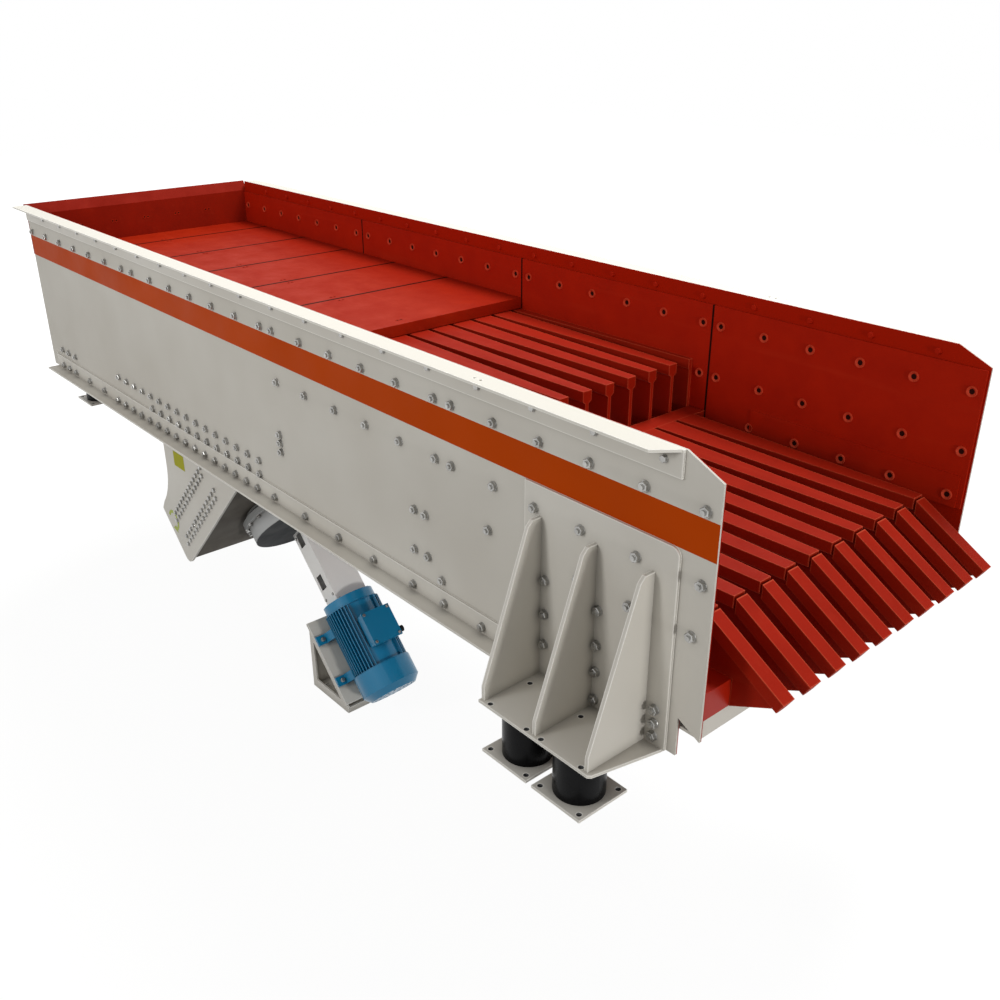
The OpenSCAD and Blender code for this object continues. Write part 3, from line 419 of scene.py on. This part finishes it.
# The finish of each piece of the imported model
FINISH = {
    side_enamel: ["side_plate_left", "side_plate_right"],
    angle_enamel: ["top_angle_left", "top_angle_right"],
    frame_enamel: [
        "bottom_angle_left", "bottom_angle_right", "front_bracket_left",
        "front_bracket_right", "rear_bracket_left", "rear_bracket_right",
        "bridge_plate_left", "bridge_plate_right", "pan_beams", "pan_plate", "front_feet",
        "rear_feet", "motor_stand"],
    bridge_enamel: ["bridge_beam"],
    guard_enamel: ["guard_cover", "guard_tray", "guard_bracket"],
    beam_enamel: ["front_beam"],
    wear_paint: ["wear_plates", "pan_lip"],
    bar_paint: ["upper_bars", "lower_bars", "step_plate", "step_beam", "lip_beam"],
    liner_paint: ["liners_left", "liners_right"],
    rear_paint: ["rear_plate"],
    exciter_enamel: ["exciter_housing", "exciter_cover_front", "exciter_cover_rear"],
    turned_steel: ["drive_shaft", "idler_shaft", "drive_gear", "idler_gear",
                   "exciter_bearings", "motor_rotor", "motor_bearings", "cardan_crosses"],
    forged_steel: ["drive_weights", "idler_weights", "exciter_yoke", "motor_yoke",
                   "motor_hub", "cardan_shaft"],
    spring_rubber: ["front_springs", "rear_springs"],
    motor_enamel: ["motor_frame", "motor_end_shields", "fan_cover", "terminal_box"],
    stator_varnish: ["stator_core"],
    fan_nylon: ["motor_fan"],
    gland_nylon: ["cable_gland"],
}
for finish, names in FINISH.items():
    for name in names:
        slots = nodes[name].data.materials
        slots.clear()
        slots.append(finish)


# ---------------------------------------------------------------------------
# Fasteners
# ---------------------------------------------------------------------------

def disc(bm, r0, r1, z0, z1, sides):
    """Closed frustum from z0 (radius r0) to z1 (radius r1), in mm."""
    return bmesh.ops.create_cone(
        bm, cap_ends=True, segments=sides, radius1=r0 * MM, radius2=r1 * MM,
        depth=(z1 - z0) * MM, matrix=Matrix.Translation((0, 0, (z0 + z1) / 2 * MM)))["verts"]


def top_edges(verts, height):
    """Edges of a shape that lie at a height, in mm."""
    edges = {e for v in verts for e in v.link_edges}
    return [e for e in edges if all(abs(v.co.z - height * MM) < 1e-6 for v in e.verts)]


def fastener(name, build):
    """Mesh of one fastener, standing on the origin along Z."""
    bm = bmesh.new()
    build(bm)
    mesh = bpy.data.meshes.new(name)
    bm.to_mesh(mesh)
    bm.free()
    return mesh


def hex_bolt(across_flats, head, washer_r, washer_t, stud=0.0):
    """Hexagon head or nut with its chamfered crown, on a plain washer; a nut also shows
    the end of its stud."""
    def build(bm):
        disc(bm, washer_r, washer_r * 0.95, -0.5, washer_t, 14)
        corner = across_flats / math.sqrt(3)
        if stud:
            disc(bm, across_flats * 0.33, across_flats * 0.28, washer_t,
                 washer_t + head + stud, 10)
        verts = disc(bm, corner, corner, washer_t - 0.3, washer_t + head, 6)
        bmesh.ops.bevel(bm, geom=top_edges(verts, washer_t + head), offset=0.1 * corner * MM,
                        offset_type="OFFSET", affect="EDGES", segments=1, profile=0.5,
                        material=-1)
    return build


def plough_screw(radius, proud):
    """Wear-plate screw: a low rim round a conical seat, whose bottom is painted dark as painted
    shade.
    """
    def build(bm):
        disc(bm, radius, radius * 0.92, -0.5, proud, 16)
        bm.faces.ensure_lookup_table()
        cap = max(bm.faces, key=lambda f: f.calc_center_median().z)
        bmesh.ops.inset_region(bm, faces=[cap], thickness=0.1 * radius * MM)
        bmesh.ops.inset_region(bm, faces=[cap], thickness=0.32 * radius * MM)
        bmesh.ops.translate(bm, verts=cap.verts[:], vec=(0, 0, -(proud - 0.4) * MM))
        cap.material_index = 1
    return build


def flush_screw(radius, depth):
    """Countersunk screw that fills its hole, with a round socket in its head."""
    def build(bm):
        disc(bm, radius, radius, -depth, -1.5, 16)
        bm.faces.ensure_lookup_table()
        cap = max(bm.faces, key=lambda f: f.calc_center_median().z)
        bmesh.ops.inset_region(bm, faces=[cap], thickness=0.4 * radius * MM)
        bmesh.ops.translate(bm, verts=cap.verts[:], vec=(0, 0, -4 * MM))
    return build


M24 = fastener("m24_nut", hex_bolt(34, 15, 21, 3.5, stud=6))
M16 = fastener("m16_bolt", hex_bolt(24, 10, 15, 3))
M10 = fastener("m10_bolt", hex_bolt(16, 6.4, 10, 2))
SCREW = fastener("liner_screw", plough_screw(24, 7))
PLUG = fastener("pan_screw", plough_screw(12, 1.5))
SEAT_SCREW = fastener("seat_screw", flush_screw(10.8, 11))


def finish_piece(name, bm, finishes, body):
    """Makes a bmesh a piece of the object, which rides on a body."""
    mesh = bpy.data.meshes.new(name)
    bm.to_mesh(mesh)
    bm.free()
    for finish in finishes:
        mesh.materials.append(finish)
    piece = bpy.data.objects.new(name, mesh)
    bpy.context.scene.collection.objects.link(piece)
    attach(piece, body)
    return piece


def scatter(name, part, places, finish, body, socket=None):
    """One piece that holds a copy of a fastener at each place."""
    bm = bmesh.new()
    for place in places:
        start = len(bm.verts)
        bm.from_mesh(part)
        bm.verts.ensure_lookup_table()
        bmesh.ops.transform(bm, matrix=place, verts=bm.verts[start:])
    return finish_piece(name, bm, [finish] + ([socket] if socket else []), body)


# Bolts of the side walls, in mm: rows of liner bolts as distances s at one depth t each,
# with those that go through the bracket's doubler listed apart, and single bolts as (s, t)
RIM_DEPTH, SECOND_DEPTH, THIRD_DEPTH = 176, 437, 640
RIM_ROW = row(55, 254.4, 6) + row(1437, 257, 6) + row(2837, 254.5, 7) + row(4510, 257, 7)
SECOND_ROW = [49, 1070, 1330, 1436, 1687, 1943, 2195, 2457, 2721]
SECOND_DOUBLED = [318, 582, 825]
THIRD_ROW = [72, 1102]
THIRD_DOUBLED = [338, 586, 836]
PAIRS = [(1519, 728), (1598, 728), (1508, 925), (1606, 925), (1413, 1004),
         (2741, 722), (2741, 768), (2741, 818)]
BEAM_ROWS = ([(s, 946) for s in row(2995, 123.5, 16)]
             + [(s, 1026) for s in row(3001, 122.7, 12)])
REAR_BRACKET = (5628, 5751, 5865)
BRACKET_ROWS = [(s, 992) for s in REAR_BRACKET]
LEG_ROWS = ([(s, 1112) for s in row(3022, 124.5, 16)]
            + [(s, 1104) for s in (1136, 1390, 1614, 1922, 2221, 2531, 2838, 5118, 5378)]
            + [(s, 1104) for s in REAR_BRACKET])
DOUBLER = ([(759, t) for t in (719, 867, 1002)] + [(481, t) for t in (724, 871, 987, 1109)]
           + [(192, t) for t in (995, 1054, 1108)])
# Bolts of the top angle: heads outside, nuts on the lining's side
RIM_LEG = row(229, 307, 19)
HEAD_DEPTH, NUT_DEPTH = 50, 46


def lined_at(s, t):
    """Inner face of the lining: it is thicker low down beside the lower bars."""
    return LINED_TWICE if t > LAYER_TOP and s < LAYER_REAR else LINED_ONCE


for side, word in SIDES:
    out = (0, side, 0)
    inward = (0, -side, 0)
    flat = ([(s, RIM_DEPTH) for s in RIM_ROW] + [(s, SECOND_DEPTH) for s in SECOND_ROW]
            + [(s, THIRD_DEPTH) for s in THIRD_ROW] + PAIRS + BEAM_ROWS + BRACKET_ROWS)
    places = [facing(wall(side, s, t, OUTER), out, s) for s, t in flat]
    places += [facing(wall(side, s, t, OUTER + ANGLE_T), out, s) for s, t in LEG_ROWS]
    scatter("side_bolts_" + word, M24, places, galvanised, "trough")
    doubled = ([(s, SECOND_DEPTH) for s in SECOND_DOUBLED]
               + [(s, THIRD_DEPTH) for s in THIRD_DOUBLED] + DOUBLER)
    scatter("bracket_bolts_" + word, M24,
            [facing(wall(side, s, t, OUTER + DOUBLER_T), out, t) for s, t in doubled],
            galvanised, "trough")
    scatter("rim_bolts_" + word, M16,
            [facing(wall(side, s, HEAD_DEPTH, OUTER + ANGLE_T), out, s) for s in RIM_LEG],
            galvanised, "trough")
    scatter("rim_nuts_" + word, M16,
            [facing(wall(side, s, NUT_DEPTH, INNER), inward, s) for s in RIM_LEG],
            liner_paint, "trough")
    screws = ([(s, RIM_DEPTH) for s in RIM_ROW]
              + [(s, SECOND_DEPTH) for s in SECOND_ROW + SECOND_DOUBLED]
              + [(s, THIRD_DEPTH) for s in THIRD_ROW + THIRD_DOUBLED])
    scatter("liner_screws_" + word, SCREW,
            [facing(wall(side, s, t, lined_at(s, t)), inward, s) for s, t in screws],
            screw_paint, "trough", socket=socket_shade)

# Screws in the four holes above and below each spring
SPRING_R = 0.100
HALF_PITCH = 0.1015
FOOT_T = 0.012
holes = []
for springs in ("front_springs", "rear_springs"):
    lo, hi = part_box(springs)
    for x in {round(lo.x + SPRING_R, 4), round(hi.x - SPRING_R, 4)}:
        for y in (lo.y + SPRING_R, hi.y - SPRING_R):
            holes += [(x + dx, y + dy) for dx in (-HALF_PITCH, HALF_PITCH)
                      for dy in (-HALF_PITCH, HALF_PITCH)]
for place, body, level in (("bracket", "trough", BOTTOM), ("foot", "base", FOOT_T)):
    scatter(place + "_screws", SEAT_SCREW,
            [facing((x, y, level), (0, 0, 1), x) for x, y in sorted(holes)],
            forged_steel, body)

# Screws of the wear plates: a pair on the middle line at each end of a plate
pan_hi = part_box("wear_plates")[1]
seams = [FRONT - s * MM for s in PAN_JOINTS]
ends = [pan_hi.x - 0.035] + [x + d for x in seams for d in (0.045, -0.045)]
scatter("pan_screws", PLUG,
        [facing((x, y, pan_hi.z), (0, 0, 1), x) for x in ends for y in (-0.012, 0.012)],
        wear_paint, "trough", socket=socket_shade)
# Pairs of screws through the upper edge of the rear plate
scatter("rear_screws", PLUG,
        [facing((REAR, y + d, TOP - 0.180), (1, 0, 0), y)
         for y in (-0.5, -0.247, 0.0, 0.247, 0.5) for d in (-0.014, 0.014)],
        wear_paint, "trough", socket=socket_shade)

# Bolts that hold the exciter's bridge to its end plates: two double rows a side, each given
# by its place along the shafts and its two ends, in the drive's mm
BRIDGE_ROWS = ((-103, -232, 478), (-281, -188, 484))
ROW_BOLTS = 13
for side, word in SIDES:
    places = []
    for z, first, last in BRIDGE_ROWS:
        for dz, shift in ((-22, 0.0), (22, 0.5)):
            for i in range(ROW_BOLTS):
                x = first + (last - first) * (i + shift) / (ROW_BOLTS - 1)
                place = drive(x, 0, z + dz)
                place.y = side * INNER
                # The upper ones are behind the side wall
                if place.z < BOTTOM - 0.03:
                    places.append(facing(place, (0, side, 0), i))
    scatter("bridge_bolts_" + word, M16, places, galvanised, "trough")


# ---------------------------------------------------------------------------
# Exciter and drive
# ---------------------------------------------------------------------------

def obround_places(radius, pitch):
    """Points round the exciter's obround flange, in the drive's x and y."""
    points = []
    steps = round(math.pi * radius / pitch)
    for i in range(steps + 1):
        a = -math.pi / 2 + math.pi * i / steps
        points.append((radius * math.sin(a), HALF_GAP + radius * math.cos(a)))
        points.append((radius * math.sin(a), -HALF_GAP - radius * math.cos(a)))
    flank = round(2 * HALF_GAP / pitch)
    for i in range(1, flank):
        y = -HALF_GAP + 2 * HALF_GAP * i / flank
        points += [(radius, y), (-radius, y)]
    return points


FLANGE_FACE, FLANGE_R, FLANGE_PITCH = 73, 371.5, 120
scatter("exciter_bolts", M16,
        [facing(drive(x, y, FLANGE_FACE), SHAFT_LINE, x)
         for x, y in obround_places(FLANGE_R, FLANGE_PITCH)],
        galvanised, "trough")

# The motor is in line with the right-hand shaft; in the drive's mm, its feet point along x
# and its terminal box against it
MOTOR_Y = -HALF_GAP
FOOT_TOP = 207
scatter("motor_foot_bolts", M16,
        [facing(drive(FOOT_TOP, MOTOR_Y + y, z), STROKE_LINE, y)
         for z in (889, 1175) for y in (-178, 178)],
        galvanised, "base")
BOX_LID, BOX_REAR = -254, 907
scatter("terminal_lid_screws", M10,
        [facing(drive(BOX_LID, MOTOR_Y + y, BOX_REAR + z), STROKE_LINE, y)
         for y in (-84, 84) for z in (16, 194)],
        galvanised, "base")
SHIELD_FACE, SHIELD_R = 740, 145
scatter("end_shield_screws", M10,
        [facing(drive(SHIELD_R * math.cos(a), MOTOR_Y + SHIELD_R * math.sin(a), SHIELD_FACE),
                -SHAFT_LINE, a)
         for a in [math.radians(45 + 90 * i) for i in range(4)]],
        galvanised, "base")
GUARD_OUT = 107.5
scatter("guard_screws", M10,
        [facing(drive(x, MOTOR_Y - GUARD_OUT, z), (0, -1, 0), x)
         for x in (-62, 62) for z in (250, 690)],
        galvanised, "base")


# ---------------------------------------------------------------------------
# Marks without words on the near end plate of the bridge
# ---------------------------------------------------------------------------

FILM_T = 0.001


def film(name, outline, finish):
    """Thin film on the outer face of the right-hand bridge plate; outline is a list of
    strips, each a list of (X, Z) corners in metres."""
    # Its back lies a little inside the plate, so that no gap shows
    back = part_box("bridge_plate_right")[0].y + 0.0002
    bm = bmesh.new()
    for corners in outline:
        bm.faces.new([bm.verts.new((x, back, z)) for x, z in corners])
    bmesh.ops.remove_doubles(bm, verts=bm.verts, dist=1e-5)
    grown = bmesh.ops.extrude_face_region(bm, geom=bm.faces[:])["geom"]
    bmesh.ops.translate(bm, vec=(0, -FILM_T - 0.0002, 0),
                        verts=[v for v in grown if isinstance(v, bmesh.types.BMVert)])
    bmesh.ops.recalc_face_normals(bm, faces=bm.faces)
    finish_piece(name, bm, [finish], "trough")


def curved_arrow(centre, radius, width, first, last):
    """Strips of an arc from first to last degrees, with a triangular head at its end."""
    def at(degrees, r):
        a = math.radians(degrees)
        return centre[0] + r * math.cos(a), centre[1] + r * math.sin(a)
    steps = 10
    angles = [first + (last - first) * i / steps for i in range(steps + 1)]
    strips = [[at(a, radius), at(a, radius + width), at(b, radius + width), at(b, radius)]
              for a, b in zip(angles, angles[1:])]
    tip = last + (last - first) * 0.22
    strips.append([at(last, radius - width * 0.8), at(last, radius + width * 1.8),
                   at(tip, radius + width / 2)])
    return strips


PATCH_X, PATCH_Z = (-3.666, -3.522), (0.012, 0.112)
film("yellow_patch",
     [[(PATCH_X[0], PATCH_Z[0]), (PATCH_X[1], PATCH_Z[0]),
       (PATCH_X[1], PATCH_Z[1]), (PATCH_X[0], PATCH_Z[1])]], yellow_film)
film("direction_arrow", curved_arrow((-3.812, -0.432), 0.052, 0.02, 160, -60), green_film)


# ---------------------------------------------------------------------------
# Floor, lights and camera
# ---------------------------------------------------------------------------

def background_rays(tree):
    """1 for a ray that meets the background as it is seen, mirrored or through glass."""
    path = add(tree, "ShaderNodeLightPath").outputs
    seen = add(tree, "ShaderNodeMath", {0: path["Is Camera Ray"], 1: path["Is Glossy Ray"]},
               operation="MAXIMUM")
    return add(tree, "ShaderNodeMath", {0: seen, 1: path["Is Transmission Ray"]},
               operation="MAXIMUM")


FLOOR_SIZE = 60.0
FLOOR_CENTRE = Vector((-2.5, 0, cad_box[0][2] - 0.001))


def pale_floor():
    """Floor that is white as seen, with a light shadow left under the machine."""
    mat, tree, place = new_material("pale_floor")
    grey = add(tree, "ShaderNodeBsdfPrincipled", {
        "Base Color": "#8F8F8D", "Roughness": 1.0, "Specular IOR Level": 0.0})
    white = add(tree, "ShaderNodeEmission", {"Color": (1, 1, 1, 1), "Strength": 1.24})
    # The shadow fades out to plain white away from the machine
    away = add(tree, "ShaderNodeVectorMath", {0: place, 1: FLOOR_CENTRE}, operation="DISTANCE")
    fading = add(tree, "ShaderNodeMapRange", {
        "Value": away, "From Min": 3.0, "From Max": 8.0, "To Min": 0.76})
    share = add(tree, "ShaderNodeMath", {0: background_rays(tree), 1: fading},
                operation="MULTIPLY")
    mix = add(tree, "ShaderNodeMixShader", {0: share, 1: grey, 2: white})
    add(tree, "ShaderNodeOutputMaterial", {"Surface": mix})
    bm = bmesh.new()
    bmesh.ops.create_grid(bm, x_segments=1, y_segments=1, size=FLOOR_SIZE / 2,
                          matrix=Matrix.Translation(FLOOR_CENTRE))
    mesh = bpy.data.meshes.new("studio_floor")
    bm.to_mesh(mesh)
    bm.free()
    mesh.materials.append(mat)
    floor = bpy.data.objects.new("studio_floor", mesh)
    bpy.context.scene.collection.objects.link(floor)


def pale_world():
    """World that is white as seen and lights the machine more softly."""
    world = bpy.data.worlds.new("studio")
    bpy.context.scene.world = world
    world.use_nodes = True
    tree = world.node_tree
    tree.nodes.clear()
    strength = add(tree, "ShaderNodeMapRange", {
        "Value": background_rays(tree), "To Min": 0.45, "To Max": 1.0})
    sky = add(tree, "ShaderNodeBackground", {"Color": (1, 1, 1, 1), "Strength": strength})
    add(tree, "ShaderNodeOutputWorld", {"Surface": sky})


def lamp(name, where, size_m, watts, aim=(-2.3, 0, 0.6)):
    """Round area lamp at a place, turned towards another."""
    light = bpy.data.lights.new(name, "AREA")
    light.shape = "DISK"
    light.size = size_m
    light.energy = watts
    holder = bpy.data.objects.new(name, light)
    holder.location = where
    holder.rotation_euler = (Vector(aim) - Vector(where)).to_track_quat("-Z", "Y").to_euler()
    bpy.context.scene.collection.objects.link(holder)


def camera():
    """Camera at the view's azimuth and elevation, its lens without shift."""
    azimuth, elevation, roll = (math.radians(a) for a in (49.07, 25.27, -0.12))
    back = Vector((math.sin(azimuth) * math.cos(elevation),
                   -math.cos(azimuth) * math.cos(elevation), math.sin(elevation)))
    data = bpy.data.cameras.new("camera")
    data.lens = 37.31
    data.sensor_width = 36.0
    data.clip_end = 200
    holder = bpy.data.objects.new("camera", data)
    holder.location = (2.2171, -3.2323, 2.5986)
    turn = back.to_track_quat("Z", "Y").to_matrix().to_4x4() @ Matrix.Rotation(roll, 4, "Z")
    holder.rotation_euler = turn.to_euler()
    bpy.context.scene.collection.objects.link(holder)
    bpy.context.scene.camera = holder


pale_floor()
pale_world()
lamp("overhead", (-2.0, 4.5, 11.5), 5.0, 1220)
lamp("front_low", (9.0, -1.5, 1.0), 1.5, 290, aim=(-2.0, -0.3, -0.2))
lamp("side_fill", (-3.2, -9.0, 4.0), 2.5, 230, aim=(-2.6, -0.8, 0.2))
lamp("back_fill", (-4.0, 8.0, 4.0), 4.0, 60)
bpy.context.scene.view_settings.view_transform = "Standard"
camera()
